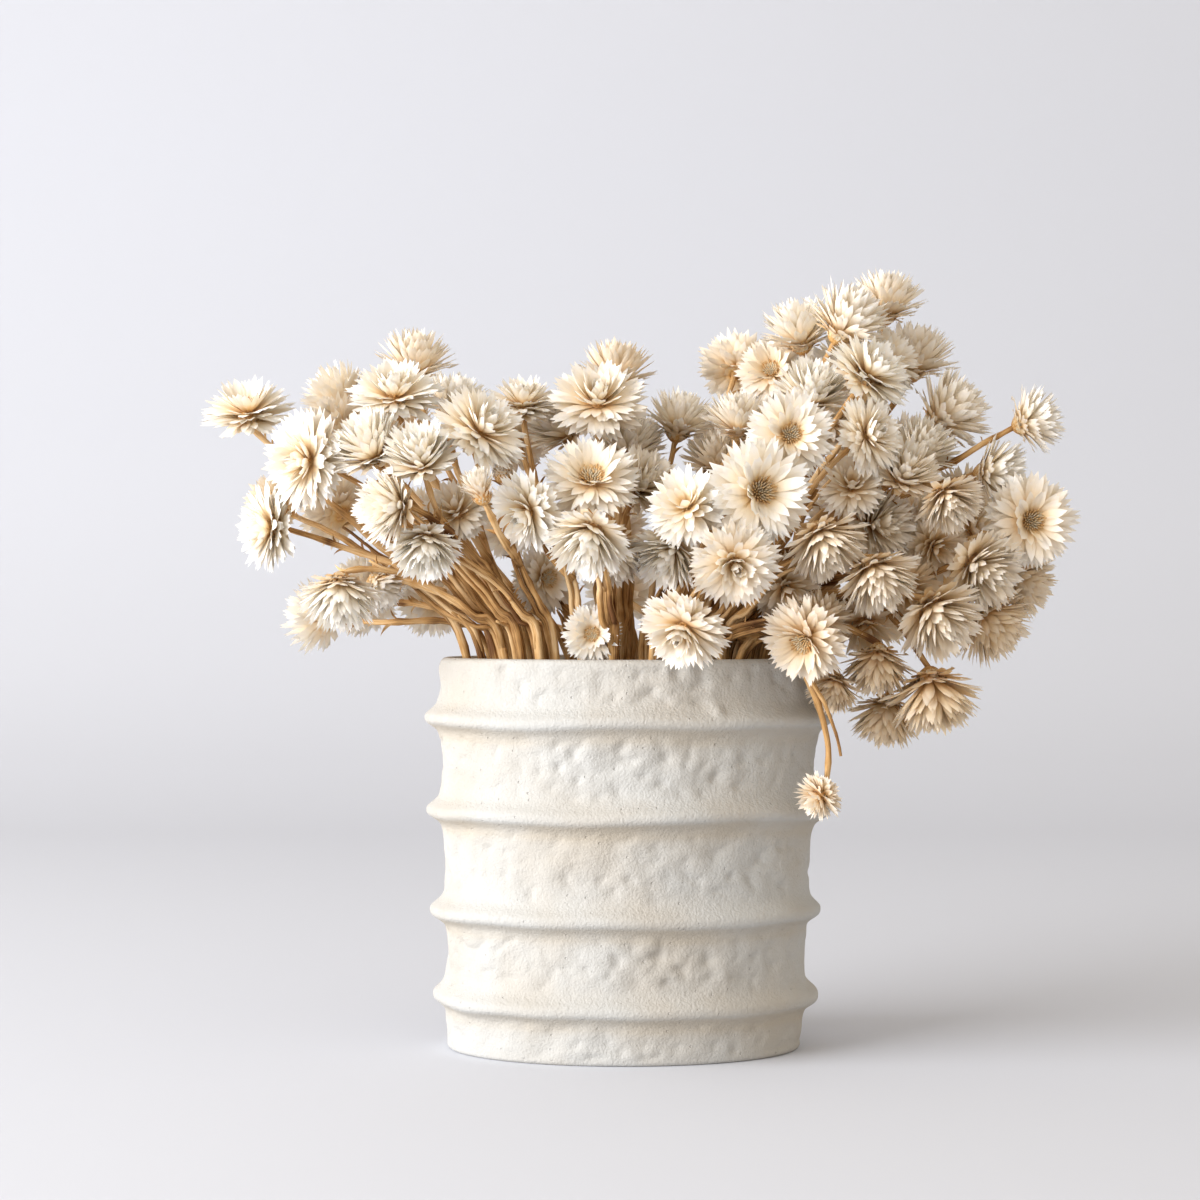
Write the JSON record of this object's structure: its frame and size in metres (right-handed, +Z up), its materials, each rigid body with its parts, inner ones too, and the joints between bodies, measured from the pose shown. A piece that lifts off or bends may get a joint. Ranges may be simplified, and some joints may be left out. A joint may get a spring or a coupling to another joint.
{
  "type": "vase of dried flowers",
  "caption": "Oval ribbed ceramic vase holding a wide, loose bunch of dried cape flowers with papery cream petals on woody tan stems.",
  "frame": {"origin": "middle of the vase's flat underside, on the surface it stands on", "axes": "+X along the wide side of the vase to the viewer's right, +Y to the back, +Z up"},
  "size_m": [0.4471, 0.238, 0.4072],
  "materials": {
    "matte_ceramic": "matte, rough, warm white",
    "dried_flower": "papery cream petals on tan woody stems"
  },
  "bodies": {
    "root": {"vase": "matte_ceramic", "spray_01": "dried_flower", "spray_02": "dried_flower", "spray_03": "dried_flower", "spray_04": "dried_flower", "spray_05": "dried_flower", "spray_06": "dried_flower", "spray_07": "dried_flower", "spray_08": "dried_flower", "spray_09": "dried_flower", "spray_10": "dried_flower", "spray_11": "dried_flower", "spray_12": "dried_flower", "spray_13": "dried_flower", "spray_14": "dried_flower", "spray_15": "dried_flower", "spray_16": "dried_flower", "spray_17": "dried_flower", "spray_18": "dried_flower", "spray_19": "dried_flower", "spray_20": "dried_flower", "spray_21": "dried_flower", "spray_22": "dried_flower", "spray_23": "dried_flower", "spray_24": "dried_flower", "spray_25": "dried_flower", "spray_26": "dried_flower", "spray_27": "dried_flower", "spray_28": "dried_flower", "spray_29": "dried_flower", "spray_30": "dried_flower", "spray_31": "dried_flower", "spray_32": "dried_flower", "spray_33": "dried_flower", "spray_34": "dried_flower", "spray_35": "dried_flower", "spray_36": "dried_flower", "spray_37": "dried_flower", "spray_38": "dried_flower", "spray_39": "dried_flower", "spray_40": "dried_flower", "spray_41": "dried_flower", "spray_42": "dried_flower", "spray_43": "dried_flower", "spray_44": "dried_flower", "spray_45": "dried_flower", "spray_46": "dried_flower", "spray_47": "dried_flower", "spray_48": "dried_flower", "spray_49": "dried_flower", "spray_50": "dried_flower", "spray_51": "dried_flower", "spray_52": "dried_flower", "spray_53": "dried_flower", "spray_54": "dried_flower", "spray_55": "dried_flower", "spray_56": "dried_flower", "spray_57": "dried_flower", "spray_58": "dried_flower"}
  },
  "joints": []
}
